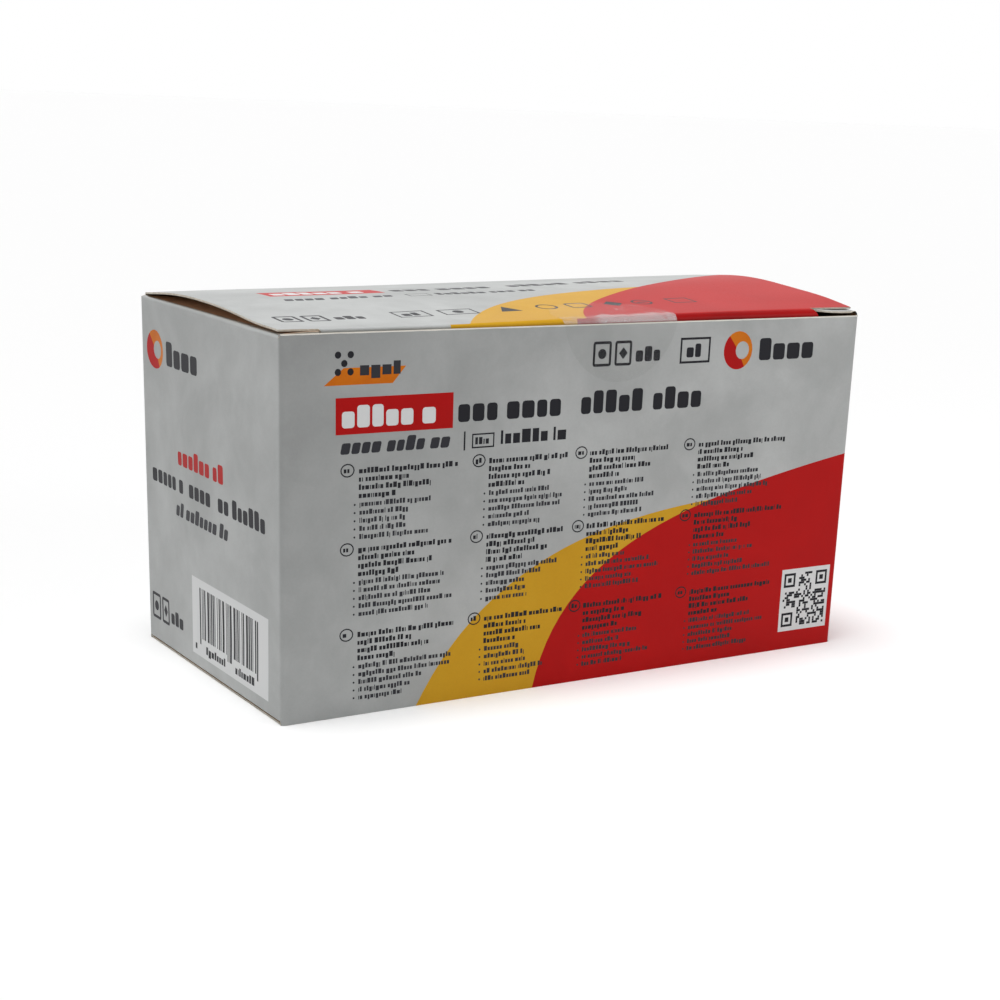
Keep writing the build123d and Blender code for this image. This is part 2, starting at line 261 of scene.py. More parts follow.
def fold(p, s):
    """Places of the blank's points at p and s, in millimetres."""
    p, s = np.asarray(p, float), np.asarray(s, float)
    x, y = girth(p)
    z = s.copy()
    # in from flat, along the wall's normal
    d = sunk(p, s)
    k = (p >= 0) & (p < L)
    y[k] += d[k]
    k = p < -D
    y[k] -= d[k]
    x += np.where((p >= -D) & (p < 0), d, 0) - np.where((p >= L) & (p < L + D), d, 0)
    # dust flaps, above and below both ends
    for side, a, b in ((-1, -D + POST_B, -POST_A), (1, L + POST_A, L + D - POST_B)):
        on = (p > a) & (p < b)
        k = on & (s > 79)
        t = np.clip((s[k] - 79) / 2, 0, 1) * math.pi / 2
        run = np.maximum(s[k] - 81, 0)
        yy = (-D / 2 - p[k]) if side < 0 else (-D / 2 + p[k] - L)
        if side < 0:
            rr = 0.55 + 0.45 * smooth(-yy, -4, 26)
            inn = rr - rr * np.cos(t) + run
            foot = 79 + 1.0 - rr + rr * np.sin(t) - (1.0 - rr) * (1 - smooth(t, 0, 0.4))
        else:
            go = np.clip((s[k] - 79) / 2, 0, 1) * (1 + BULGE * math.pi / 2)
            t = np.clip((go - 1) / (BULGE * math.pi / 2), 0, 1) * math.pi / 2
            inn = BULGE - BULGE * np.cos(t) + run
            foot = 79 + np.minimum(go, 1) + BULGE * np.sin(t) - 0.24 * np.sin(t) * smooth(-yy, 33.0, 36.2)
        xx = side * (L / 2 - inn)
        zz = foot + FLAP[side](np.clip(run, 0, 33.8)) + np.maximum(run - 33.8, 0) * 0.02
        under = lid_height(xx, yy) - BOARD - 0.05
        under = np.maximum(under, 80.02)
        gap = under - zz
        zz = np.where(run > 0, zz + np.minimum(gap, 0) - 0.04 * bump(gap, 0, 0.2) * smooth(run, 0, 2), zz)
        x[k], y[k], z[k] = xx, yy, zz
        k = on & (s < 1.27)
        t = np.clip((1.27 - s[k]) / 2.27, 0, 1) * math.pi / 2
        run = np.maximum(-1 - s[k], 0)
        yy = (-D / 2 - p[k]) if side < 0 else (-D / 2 + p[k] - L)
        x[k] = side * (L / 2 - 0.8 + 0.8 * np.cos(t) - run)
        y[k] = yy
        z[k] = 1.27 - 0.8 * np.sin(t) + 0.1 * smooth(run, 0, 20)
    # the bottom panel and its tuck flap
    k = (p < -D) & (s < 1)
    q, ss = p[k], s[k]
    yy, zz = np.full_like(ss, D / 2), ss.copy()
    t = np.clip((1 - ss) / 2, 0, 1) * math.pi / 2
    yy = D / 2 - 1 + np.cos(t)
    zz = 1 - np.sin(t)
    run = np.maximum(-1 - ss, 0)
    flat = D / 2 - 1 - (TUCK_Y + 0.8)
    yy = yy - np.minimum(run, flat)
    t = np.clip((run - flat) / 1.6, 0, 1) * math.pi / 2
    yy = yy - 0.8 * np.sin(t)
    zz = zz + 0.8 - 0.8 * np.cos(t) + np.maximum(run - flat - 1.6, 0)
    x[k], y[k], z[k] = -148.5 - q, yy, zz
    # the lid
    k = (p < -D) & (s > H)
    place = lid_at(-148.5 - p[k], s[k])
    a, b = place[:, 0], place[:, 1]
    inside = smooth(b, -35, -24) * smooth(34 - b, 0, 10)
    place[:, 2] -= 0.07 * inside * (1 + waves(a, b, 23, 38))
    place[:, 2] -= 0.10 * bump(a, -52, 9) * bump(b, -3 - 0.1 * (a + 52), 2.6)
    x[k], y[k], z[k] = place.T
    return np.stack([x, y, z], 1)


def normals(p, s):
    e = 0.03
    dp = fold(p + e, s) - fold(p - e, s)
    ds = fold(p, s + e) - fold(p, s - e)
    n = np.cross(dp, ds)
    return n / np.maximum(np.linalg.norm(n, axis=1), 1e-12)[:, None]


# ---------------------------------------------------------------------------
# The print: plain fields and simple shapes. Each entry is a material, an
# outline and, for the open middle of a ring or frame, the entry it opens.
# ---------------------------------------------------------------------------
SLOTS = ["grey", "red", "yellow", "dark", "soft_dark", "white", "orange", "deep_red", "edge", "inner", "flap", "trim"]
GREY, RED, YELLOW, DARK, SOFT, WHITE, ORANGE, FOLD_SHADE_RED, EDGE, INNER, FLAP_SHADE, RIM_HIGHLIGHT = range(12)
shapes = []


def dense(pts, step=2.0):
    out = []
    for a, b in zip(pts, pts[1:] + pts[:1]):
        n = max(1, int(math.ceil(math.dist(a, b) / step)))
        out += [(a[0] + (b[0] - a[0]) * j / n, a[1] + (b[1] - a[1]) * j / n) for j in range(n)]
    return out


def on_front(u, v):
    return u, H - v


def on_left(u, v):
    return -D + u, H - v


def on_right(u, v):
    return L + u, H - v


def on_back(u, v):
    return -D - L + u, H - v


def on_lid(u, v):
    """u from the lid's left edge, v from its front fold, as read from the front."""
    return -148.5 - (u - L / 2), 118.0 - (v - D / 2)


def add(where, mat, pts, opens=None, step=2.0):
    shapes.append((mat, dense([where(*q) for q in pts], step), opens))
    return len(shapes) - 1


def rect(where, mat, x0, y0, x1, y1, opens=None, r=0.0):
    if r <= 0:
        return add(where, mat, [(x0, y0), (x1, y0), (x1, y1), (x0, y1)], opens)
    pts = []
    for cx, cy, a in ((x1 - r, y0 + r, -90), (x1 - r, y1 - r, 0), (x0 + r, y1 - r, 90), (x0 + r, y0 + r, 180)):
        pts += [(cx + r * math.cos(math.radians(a + t)), cy + r * math.sin(math.radians(a + t)))
                for t in (0, 30, 60, 90)]
    return add(where, mat, pts, opens)


def frame_box(where, mat, x0, y0, x1, y1, w, r=0.0):
    k = rect(where, mat, x0, y0, x1, y1, r=r)
    rect(where, None, x0 + w, y0 + w, x1 - w, y1 - w, opens=k, r=max(r - w, 0))


def disc(where, mat, cx, cy, rx, ry=None, n=20, opens=None, start=0, stop=360):
    ry = rx if ry is None else ry
    pts = [(cx + rx * math.cos(math.radians(start + (stop - start) * j / n)),
            cy + ry * math.sin(math.radians(start + (stop - start) * j / n)))
           for j in range(n if stop - start == 360 else n + 1)]
    if stop - start != 360:
        pts.append((cx, cy))
    return add(where, mat, pts, opens)


def ring(where, mat, cx, cy, rx, ry, w, n=20):
    k = disc(where, mat, cx, cy, rx, ry, n)
    disc(where, None, cx, cy, rx - w, ry - w, n, opens=k)


def tiles(where, mat, x, y, size, length, seed, weight=1.0, slant=0.0):
    """A run of small blocks in place of a line of print, y at its foot."""
    rng = random.Random(seed)
    end = x + length
    while x < end - 0.3 * size:
        for _ in range(rng.choice((2, 3, 4, 5, 6, 7, 8, 9))):
            big = size >= 3.0
            w = size * rng.choice((0.54, 0.60, 0.60, 0.66) if big else (0.20, 0.44, 0.52, 0.56, 0.60, 0.76)) * weight
            if x + w > end:
                return
            kind = rng.random()
            up = size * (1.0 if kind < (0.26 if big else 0.32) else 0.74)
            low = size * (0.24 if kind > 0.88 and not big else 0.0)
            a = (y - up, y + low)
            sh = slant * size
            if big:
                c = 0.13 * size
                add(where, mat, [(q + sh * (y - v) / size, v) for q, v in (
                    (x + c, a[0]), (x + w - c, a[0]), (x + w - 0.3 * c, a[0] + 0.3 * c), (x + w, a[0] + c),
                    (x + w, a[1] - c), (x + w - 0.3 * c, a[1] - 0.3 * c), (x + w - c, a[1]), (x + c, a[1]),
                    (x + 0.3 * c, a[1] - 0.3 * c), (x, a[1] - c), (x, a[0] + c), (x + 0.3 * c, a[0] + 0.3 * c))])
            else:
                add(where, mat, [(x + sh * up / size, a[0]), (x + w + sh * up / size, a[0]),
                                 (x + w - sh * low, a[1]), (x - sh * low, a[1])])
            x += w + (0.13 if big else 0.17) * size
        x += 0.34 * size


def curve(*points, n=26):
    """A smooth open curve through Bezier control points."""
    pts = [np.array(q, float) for q in points]
    out = []
    for j in range(n + 1):
        t, row = j / n, pts
        while len(row) > 1:
            row = [a + (b - a) * t for a, b in zip(row, row[1:])]
        out.append((float(row[0][0]), float(row[0][1])))
    return out


# sweeping colour fields of the front, carried on over the right end
rise = curve((60.5, 84), (65.5, 50), (96, 41.5), (L, 32.5))
on_ward = curve((L, 32.5), (L + 22, 29.2), (L + 52, 30), (L + D, 37), n=16)
band = curve((29.5, 84), (45, 52), (74, 43.0), (112, 40.6))
add(on_front, YELLOW, band + [(112, 60), (62, 84)])
add(on_front, RED, rise + on_ward[1:] + [(L + D + 3, 40), (L + D + 3, 84)])
add(on_back, RED, curve((0, 38), (14, 44), (22, 62), (24, 80.9)) + [(0, 80.9)])
# and of the lid
lid_rise = curve((71.0, -3), (78, 22), (112, 32), (L + 1, 54))
lid_band = curve((41.0, -3), (54, 20), (76, 30.5), (108, 31.6))
add(on_lid, YELLOW, lid_band + [(100, 20), (72, -3)])
add(on_lid, RED, lid_rise + [(L + 1, -3)])
rect(lambda u, v: (-148.5 - (u - L / 2), v), YELLOW, 38.5, 154.6, 71.0, 170.0)
# painted shade: the lid's front fold gets a darker red than the lid's top, for the fold's rounding that catches less
# sheen
rect(lambda u, v: (-148.5 - (u - L / 2), v), FOLD_SHADE_RED, 69.6, 154.6, L + 2, 170.0)

# painted highlight: a pale cream strip along the front panel's raw top edge, for the rim's bright highlight
rng = random.Random(90)
add(on_front, RIM_HIGHLIGHT, [(0.1, 0.0), (L - 0.1, 0.0)] + [(L - 0.1 - (L - 0.2) * j / 90, 0.20 + 0.07 * rng.random()) for j in range(91)])
# painted shade: the left dust flap beyond its crease is coloured warm brown, for the shade under the lid and the
# brown light bounced from the lid's underside
add(lambda u, v: (u, v), FLAP_SHADE, [(-D + 0.4, 81.5), (-0.3, 81.5), (-0.3, 116), (-D + 0.4, 116)])

# front, upper left: five pips on a slanted bar
add(on_front, ORANGE, [(9.6, 10.4), (25.0, 10.4), (28.0, 7.0), (14.0, 7.0)])
for a, b in ((12.7, 4.4), (15.5, 4.4), (14.1, 6.1), (12.7, 7.8), (15.5, 7.8)):
    disc(on_front, DARK, a, b, 0.72, n=12)
tiles(on_front, SOFT, 17.6, 8.6, 2.7, 9.6, 5)
# upper right: a plain ring and half disc, blocks, a framed bar and a round mark
frame_box(on_front, DARK, 73.6, 3.7, 78.4, 9.1, 0.6, r=0.6)
disc(on_front, DARK, 76.0, 6.4, 1.1, n=14)
frame_box(on_front, DARK, 79.3, 3.7, 83.8, 9.1, 0.6, r=0.6)
add(on_front, DARK, [(81.55, 5.1), (82.7, 6.4), (81.55, 7.7), (80.4, 6.4)])
tiles(on_front, DARK, 84.9, 8.4, 3.3, 8.6, 12)
frame_box(on_front, DARK, 97.0, 3.6, 105.4, 9.3, 0.5)
tiles(on_front, DARK, 98.8, 8.0, 3.0, 5.2, 6)
disc(on_front, ORANGE, 113.4, 6.9, 4.1, 4.3, n=24)
disc(on_front, RED, 113.4, 6.9, 4.1, 4.3, n=14, start=60, stop=230)
k = len(shapes)
disc(on_front, GREY, 114.6, 6.9, 1.9, 2.0, n=16)
tiles(on_front, DARK, 119.6, 9.4, 5.0, 20.4, 41, 1.15)
# title line: a red panel with white blocks, then dark blocks
rect(on_front, RED, 12.2, 12.9, 39.2, 20.3)
tiles(on_front, WHITE, 13.6, 19.0, 4.5, 24.6, 8, 1.05)
tiles(on_front, DARK, 40.4, 19.2, 5.0, 29.0, 14, 0.95)
tiles(on_front, DARK, 71.2, 19.2, 5.0, 16.6, 15, 0.95)
tiles(on_front, DARK, 90.4, 19.2, 5.0, 17.8, 18, 0.95)
# second line
tiles(on_front, SOFT, 13.2, 24.3, 3.1, 27.2, 21, 1.0, 0.2)
rect(on_front, DARK, 41.9, 21.2, 42.3, 25.2)
frame_box(on_front, DARK, 43.9, 21.8, 49.4, 24.9, 0.32)
tiles(on_front, DARK, 44.7, 24.1, 1.5, 4.0, 22)
tiles(on_front, DARK, 51.0, 24.4, 2.9, 18.6, 23)
# twelve small text blocks, each with a ring before its first line
COLS = ((14.9, 17.5), (45.8, 48.3), (71.9, 74.2), (101.5, 104.1))
ROWS = (27.6, 44.0, 62.2)
rng = random.Random(7)
for r, top in enumerate(ROWS):
    for c, (rx, tx) in enumerate(COLS):
        ring(on_front, DARK, rx, top, 1.62, 1.42, 0.28, n=16)
        tiles(on_front, DARK, rx - 0.85, top + 0.5, 1.1, 1.8, 100 + 4 * r + c)
        y = top + 0.75
        wide = (26.0, 23.5, 24.5, 26.5)[c]
        for line in range(9):
            head = line < 4
            length = wide * ((1.0, 0.55, 0.72, 0.40)[line] if head
                             else rng.uniform(0.45, 0.95)) * rng.uniform(0.85, 1.0)
            if not head:
                disc(on_front, SOFT, tx - 0.9, y - 0.45, 0.24, n=8)
            tiles(on_front, DARK if head else SOFT, tx + (0 if head else 0.2), y, 1.16 if head else 1.08,
                  length, 1000 + r * 100 + c * 10 + line, 0.98 if head else 0.92)
            y += 1.70 if line != 3 else 1.76
# lower right: a white square with a square pattern
rect(on_front, WHITE, 132.0, 60.0, 147.0, 75.5)
N, CELL = 23, 0.58
ox, oy = 132.0 + (15.0 - N * CELL) / 2, 60.0 + (15.5 - N * CELL) / 2
rng = random.Random(31)
for j in range(N):
    i = 0
    while i < N:
        near = (i < 8 and j < 8) or (i > N - 9 and j < 8) or (i < 8 and j > N - 9)
        if near or rng.random() < 0.5:
            i += 1
            continue
        run = 1
        while i + run < N and rng.random() < 0.42 and not (i + run > N - 9 and j < 8):
            run += 1
        add(on_front, DARK, [(ox + i * CELL, oy + j * CELL + 0.01), (ox + (i + run) * CELL - 0.02, oy + j * CELL + 0.01),
                             (ox + (i + run) * CELL - 0.02, oy + (j + 1) * CELL - 0.01),
                             (ox + i * CELL, oy + (j + 1) * CELL - 0.01)])
        i += run + 1
for i, j in ((0, 0), (N - 6, 0), (0, N - 6)):
    frame_box(on_front, DARK, ox + i * CELL, oy + j * CELL, ox + (i + 6) * CELL, oy + (j + 6) * CELL, CELL)
    rect(on_front, DARK, ox + (i + 2) * CELL, oy + (j + 2) * CELL, ox + (i + 4) * CELL, oy + (j + 4) * CELL)

# left end: round mark and blocks, three lines, small marks, a striped block
disc(on_left, ORANGE, 7.6, 11.2, 4.4, 4.3, n=24)
disc(on_left, RED, 7.6, 11.2, 4.4, 4.3, n=14, start=60, stop=230)
disc(on_left, GREY, 8.8, 11.2, 2.0, 2.0, n=16)
tiles(on_left, DARK, 14.0, 14.0, 5.4, 20.0, 41, 1.15)
tiles(on_left, RED, 20.0, 35.0, 4.1, 26.0, 52, 1.0)
tiles(on_left, DARK, 4.5, 41.3, 4.1, 19.5, 53, 0.95)
tiles(on_left, DARK, 26.0, 41.3, 4.1, 13.8, 54, 0.95)
tiles(on_left, DARK, 42.0, 41.3, 4.1, 24.0, 56, 0.95)
tiles(on_left, SOFT, 18.0, 46.8, 3.3, 30.0, 57, 1.0, 0.2)
frame_box(on_left, DARK, 2.6, 68.0, 7.6, 74.2, 0.7, r=0.6)
disc(on_left, DARK, 5.1, 71.1, 1.2, n=14)
frame_box(on_left, DARK, 8.5, 68.0, 12.9, 74.2, 0.7, r=0.6)
add(on_left, DARK, [(10.7, 69.6), (11.8, 71.1), (10.7, 72.6), (9.6, 71.1)])
tiles(on_left, DARK, 14.0, 73.2, 3.4, 8.0, 58)
rect(on_left, WHITE, 26.8, 58.7, 67.5, 76.5)
rng = random.Random(77)
x = 31.0
while x < 62.4:
    w = rng.choice((0.33, 0.33, 0.66, 0.66, 0.99))
    tall = x < 32.0 or x > 61.6 or abs(x - 46.8) < 0.8
    rect(on_left, DARK, x, 60.6, min(x + w, 62.8), 73.6 if tall else 72.2)
    x += w + rng.choice((0.33, 0.33, 0.66, 0.99))
for a in (28.4, 34.4, 50.4):
    tiles(on_left, DARK, a, 75.2, 1.8, 1.5 if a < 30 else 10.6, int(a * 10))

# right end: round mark and blocks, a square of fine lines
disc(on_right, ORANGE, 7.6, 11.2, 4.4, 4.3, n=24)
disc(on_right, RED, 7.6, 11.2, 4.4, 4.3, n=14, start=60, stop=230)
disc(on_right, GREY, 8.8, 11.2, 2.0, 2.0, n=16)
tiles(on_right, DARK, 14.0, 14.0, 5.4, 20.0, 41, 1.15)
for j, n in enumerate((40, 34, 37, 22)):
    tiles(on_right, SOFT, 8.0, 21.0 + 2.6 * j, 1.5, n, 300 + j)
# back: title line and two blocks of fine lines
rect(on_back, RED, 12.2, 12.9, 39.2, 20.3)
tiles(on_back, WHITE, 13.6, 19.0, 4.5, 24.6, 8, 1.05)
tiles(on_back, DARK, 40.4, 19.2, 5.0, 46.0, 14, 0.95)
tiles(on_back, SOFT, 13.2, 24.3, 3.1, 27.2, 21, 1.0, 0.2)
for c in range(2):
    for j in range(12):
        tiles(on_back, DARK if j % 6 == 0 else SOFT, 34.0 + 52.0 * c, 31.4 + 2.5 * j, 1.4,
              46.0 if (j + c) % 6 != 5 else 25.0, 400 + 20 * c + j)
# lid: title panel, two lines and a row of plain symbols
flip = (lambda u, v: on_lid(u, 73.0 - v))
rect(flip, RED, 16.8, 24.4, 44.7, 32.4)
tiles(flip, WHITE, 18.4, 30.8, 4.6, 25.0, 8, 1.05)
tiles(flip, DARK, 47.6, 31.2, 5.0, 29.0, 14, 0.95)
tiles(flip, DARK, 78.6, 31.2, 5.0, 16.6, 15, 0.95)
tiles(flip, DARK, 97.6, 31.2, 5.0, 17.8, 18, 0.95)
tiles(flip, SOFT, 17.1, 39.4, 3.2, 27.2, 21, 1.0, 0.2)
frame_box(flip, DARK, 47.0, 36.6, 52.7, 40.0, 0.35)
tiles(flip, DARK, 54.5, 39.4, 3.0, 26.0, 23)
frame_box(flip, DARK, 5.6, 56.6, 10.6, 62.6, 0.7, r=0.6)
disc(flip, DARK, 8.1, 59.6, 1.2, n=14)
frame_box(flip, DARK, 11.8, 56.6, 16.6, 62.6, 0.7, r=0.6)
add(flip, DARK, [(14.2, 58.1), (15.4, 59.6), (14.2, 61.1), (13.0, 59.6)])
tiles(flip, DARK, 18.2, 61.6, 3.4, 8.4, 12)
frame_box(flip, DARK, 32.6, 56.4, 40.5, 62.2, 0.5)
tiles(flip, DARK, 34.2, 60.9, 3.0, 5.2, 6)
frame_box(flip, DARK, 43.6, 56.9, 52.0, 62.0, 0.5)
disc(flip, DARK, 47.8, 59.4, 1.3, n=12)
add(flip, DARK, [(57.6, 61.4), (63.0, 61.4), (60.3, 56.4)])
ring(flip, DARK, 70.7, 58.8, 2.6, 2.6, 0.6)
frame_box(flip, DARK, 76.2, 56.3, 81.8, 61.4, 0.6, r=1.0)
add(flip, DARK, [(85.9, 58.8), (88.5, 56.1), (91.1, 58.8), (88.5, 61.5)])
ring(flip, DARK, 96.5, 58.8, 2.6, 2.6, 0.6)
rect(flip, DARK, 95.1, 58.4, 97.9, 59.2)
frame_box(flip, DARK, 104.2, 56.2, 110.6, 61.4, 0.5)

# ---------------------------------------------------------------------------
# The blank's outline, with the slits at the lid's corners and the small cuts
# at the posts, and the lines that keep its creases finely divided.
# ---------------------------------------------------------------------------
LEFT_SLIT, RIGHT_SLIT = -82.8, -210.0
outline = [
    # glue tab
    (L + D, 1.0), (L + D + 13.0, 6.0), (L + D + 13.0, 74.0), (L + D, 79.0),
    # right end and its dust flap
    (L + D, 80.0), (L + D - 0.90, 80.0), (L + D - 0.95, 79.0), (L + D - 1.30, 81.2), (L + D - 4.0, 96.0),
    (L + D - 6.5, 112.0), (L + D - 12.0, 115.0), (L + 12.0, 115.0), (L + 6.5, 112.0), (L + 2.15, 92.4),
    (L + 0.72, 89.4), (L + 0.70, 79.0), (L + 0.65, 80.0),
    (L, 80.0), (0.0, 80.0),
    # left dust flap
    (-0.65, 80.0), (-0.70, 79.0), (-0.72, 88.6), (-2.15, 91.4), (-6.5, 112.0), (-12.0, 115.0),
    (-D + 12.0, 115.0), (-D + 6.5, 112.0), (-D + 4.0, 96.0), (-D + 1.30, 81.2), (-D + 0.95, 79.0),
    (-D + 0.90, 79.8), (-D, 79.7),
    # lid with its slits and tuck flap
    (-D - 1.3, 80.0), (-D - 1.15, 82.0), (-D - 0.25, 86.0), (-D - 0.25, 153.87),
    (LEFT_SLIT, 153.87), (LEFT_SLIT, 154.2), (LEFT_SLIT - 0.3, 156.0), (LEFT_SLIT - 3.0, 161.5),
    (LEFT_SLIT - 9.0, S_TUCK), (RIGHT_SLIT + 9.0, S_TUCK), (RIGHT_SLIT + 2.0, 161.5),
    (RIGHT_SLIT - 0.9, 156.0), (RIGHT_SLIT + 0.45, 154.2), (RIGHT_SLIT + 0.55, 153.93),
    (-222.1, 153.93), (-222.1, 82.0), (-222.0, 80.0),
    # the back panel's free edge, over the glue tab
    (-222.85, 80.0), (-222.85, 0.02), (-222.4, 0.02),
    # bottom panel and its tuck flap
    (-222.4, -0.6), (-222.7, -1.4), (-222.7, -72.5), (-220.0, -74.2), (-216.0, -84.0), (-81.0, -84.0), (-77.0, -74.2), (-74.3, -72.5),
    (-74.3, -1.4), (-D - 0.9, 0.02),
    (-D, 0.02), (-D + 0.90, 0.02), (-D + 0.95, 1.1), (-D + 1.6, -3.0), (-D + 6.5, -32.0), (-D + 12.0, -35.0),
    (-12.0, -35.0), (-6.5, -32.0), (-1.6, -3.0), (-0.70, 1.1), (-0.65, 0.02),
    (0.0, 0.02), (L, 0.02),
    (L + 0.65, 0.02), (L + 0.70, 1.1), (L + 1.6, -3.0), (L + 6.5, -32.0), (L + 12.0, -35.0),
    (L + D - 12.0, -35.0), (L + D - 6.5, -32.0), (L + D - 1.6, -3.0), (L + D - 0.95, 1.1), (L + D - 0.90, 0.02),
    (L + D, 0.02),
]

verts, edges, faces = [], [], []


def put(pts):
    turn = sum(a[0] * b[1] - b[0] * a[1] for a, b in zip(pts, list(pts[1:]) + list(pts[:1])))
    if len(pts) > 2 and turn < 0:
        pts = list(pts)[::-1]       # every outline runs the same way round
    base = len(verts)
    verts.extend((float(a), float(b)) for a, b in pts)
    return list(range(base, base + len(pts)))


def rule(a, b, step=2.0):
    """A dividing line from a to b."""
    n = max(1, int(math.ceil(math.dist(a, b) / step)))
    ids = put([(a[0] + (b[0] - a[0]) * j / n, a[1] + (b[1] - a[1]) * j / n) for j in range(n + 1)])
    edges.extend(zip(ids, ids[1:]))


faces.append(put(dense(outline, 1.6)))
for mat, pts, opens in shapes:
    faces.append(put(pts))
for at in (-D, 0.0, L, L + D):
    for k in range(-4, 5):
        if at == L + D or abs(k) < 4 or True:
            rule((at + k * 0.25, 0.02), (at + k * 0.25, 80.0), 4.0)
for a, b in ((-D + 0.95, -0.70), (L + 0.70, L + D - 0.95)):
    for k in range(9):
        rule((a, 79 + k * 0.25), (b, 79 + k * 0.25), 2.4)
        rule((a, 1.27 - k * 0.28), (b, 1.27 - k * 0.28), 2.4)
for k in range(9):
    rule((-222.1, 80 + k * 0.25), (-D - 0.2, 80 + k * 0.25), 2.6)
    rule((-222.7, 1 - k * 0.25), (-D - 0.3, 1 - k * 0.25), 2.6)
    rule((RIGHT_SLIT - 1, 154 + k * 0.25), (LEFT_SLIT + 1, 154 + k * 0.25), 1.6)
for k in range(7):
    rule((-222.4, -72.39 - k * 0.27), (-D - 0.6, -72.39 - k * 0.27), 2.6)


def field(p0, p1, s0, s1, step):
    nx, ny = max(1, round((p1 - p0) / step)), max(1, round((s1 - s0) / step))
    for j in range(ny + 1):
        for i in range(nx + 1):
            verts.append((p0 + (p1 - p0) * (i + (0.5 if j % 2 and i < nx else 0)) / nx, s0 + (s1 - s0) * j / ny))


field(-221.5, -75.6, 2.2, 78.6, 2.6)
field(-72.4, -1.6, 2.2, 78.0, 2.0)
field(1.6, L - 1.6, 1.4, 78.8, 2.0)
field(L + 1.6, L + D - 1.6, 2.2, 78.0, 2.4)
field(L + D + 1.6, L + D + 12.0, 8.0, 72.0, 4.0)
field(-221.6, -74.8, 83.2, 153.0, 1.9)
field(RIGHT_SLIT + 3, LEFT_SLIT - 3, 157.2, 166.0, 2.6)
field(-221.5, -75.6, -71.6, -2.2, 3.2)
for a, b in ((-D + 3.5, -2.5), (L + 2.5, L + D - 3.5)):
    field(a, b, 82.0, 112.0, 1.8)
    field(a + 3, b - 3, -30.0, -2.2, 3.4)

flat, _, tris, _, _, origin = delaunay_2d_cdt(
    [Vector(v) for v in verts], edges, faces, 1, 1e-4, True)
ps = np.array([(v[0], v[1]) for v in flat])
keep, kind = [], []
for t, own in zip(tris, origin):
    own = sorted(own, reverse=True)
    if 0 not in own:
        continue
    mat, k = GREY, 0
    while k < len(own) and own[k] != 0:
        m, _, opens = shapes[own[k] - 1]
        if opens is None:
            mat = m
            break
        limit = opens + 1
        k += 1
        while k < len(own) and own[k] >= limit:
            k += 1
    keep.append(t)
    kind.append(mat)
used = sorted({v for t in keep for v in t})
index = {v: i for i, v in enumerate(used)}
ps = ps[used]
tri = np.array([[index[v] for v in t] for t in keep])
kind = np.array(kind)
# drop triangles with no area
e1, e2 = ps[tri[:, 1]] - ps[tri[:, 0]], ps[tri[:, 2]] - ps[tri[:, 0]]
area = e1[:, 0] * e2[:, 1] - e1[:, 1] * e2[:, 0]
tri[area < 0] = tri[area < 0][:, ::-1]
tri, kind = tri[np.abs(area) > 1e-7], kind[np.abs(area) > 1e-7]
mid = ps[tri].mean(1)

outer = fold(ps[:, 0], ps[:, 1])
nrm = normals(ps[:, 0], ps[:, 1])
inner_pts = outer - nrm * BOARD
inner_pts[:, 0] = np.clip(inner_pts[:, 0], -74.45, 74.45)
inner_pts[:, 1] = np.clip(inner_pts[:, 1], -36.95, 36.95)
n = len(ps)
# the raw edge all round: edges that have one triangle
ends = {}
for a, b, c in tri:
    for u, v in ((a, b), (b, c), (c, a)):
        ends[(u, v)] = ends.get((u, v), 0) + 1
rim = [(u, v) for (u, v) in ends if (v, u) not in ends]
all_coords = np.vstack([outer, inner_pts]) * MM
all_faces = [tuple(t) for t in tri] + [(t[0] + n, t[2] + n, t[1] + n) for t in tri]
rim_faces = [(v, u, u + n, v + n) for u, v in rim]
mesh = bpy.data.meshes.new("carton_board")
mesh.from_pydata(all_coords.tolist(), [], all_faces + rim_faces)
mats = np.concatenate([kind, np.full(len(tri), INNER), np.full(len(rim_faces), EDGE)])
mesh.polygons.foreach_set("material_index", mats.astype(np.int32))
mesh.polygons.foreach_set("use_smooth", np.ones(len(mesh.polygons), bool))
mesh.update()
# shading follows the folded sheet itself, whatever the print's small facets
loop_v = np.zeros(len(mesh.loops), np.int32)
mesh.loops.foreach_get("vertex_index", loop_v)
face_n = np.zeros(len(mesh.polygons) * 3)
mesh.polygons.foreach_get("normal", face_n)
face_n = face_n.reshape(-1, 3)
totals = np.zeros(len(mesh.polygons), np.int32)
mesh.polygons.foreach_get("loop_total", totals)
owner = np.repeat(np.arange(len(mesh.polygons)), totals)
on_rim = owner >= 2 * len(tri)
both = np.vstack([nrm, -nrm])
loop_n = np.where(on_rim[:, None], face_n[owner], both[loop_v])
mesh.normals_split_custom_set(loop_n.tolist())
# the flat blank is the map too: outer face above, inner face below, edges aside
uv = mesh.uv_layers.new(name="OFBake")
span = 476.0
flat_uv = np.column_stack([(ps[:, 0] + 226.0) / span, (ps[:, 1] + 88.0) / span])
flat_uv = np.vstack([flat_uv * 0.985 + [0.004, 0.455], flat_uv * 0.80 + [0.004, 0.003]])
side_uv = np.column_stack([0.83 + 0.16 * (ps[:, 0] + 226) / span, 0.02 + 0.40 * (ps[:, 1] + 88) / span])
side_uv = np.vstack([side_uv, side_uv + [0.0, 0.0012]])
uv.data.foreach_set("uv", np.where(on_rim[:, None], side_uv[loop_v], flat_uv[loop_v]).ravel())
board = bpy.data.objects.new("carton_board", mesh)
scene.collection.objects.link(board)
print("carton board:", len(mesh.polygons), "faces,", n, "points,", len(rim), "rim")


# ---------------------------------------------------------------------------
# Materials
# ---------------------------------------------------------------------------
def lin(*rgb):
    return tuple(((c / 255) / 12.92 if c / 255 <= 0.04045 else ((c / 255 + 0.055) / 1.055) ** 2.4)
                 for c in rgb) + (1.0,)


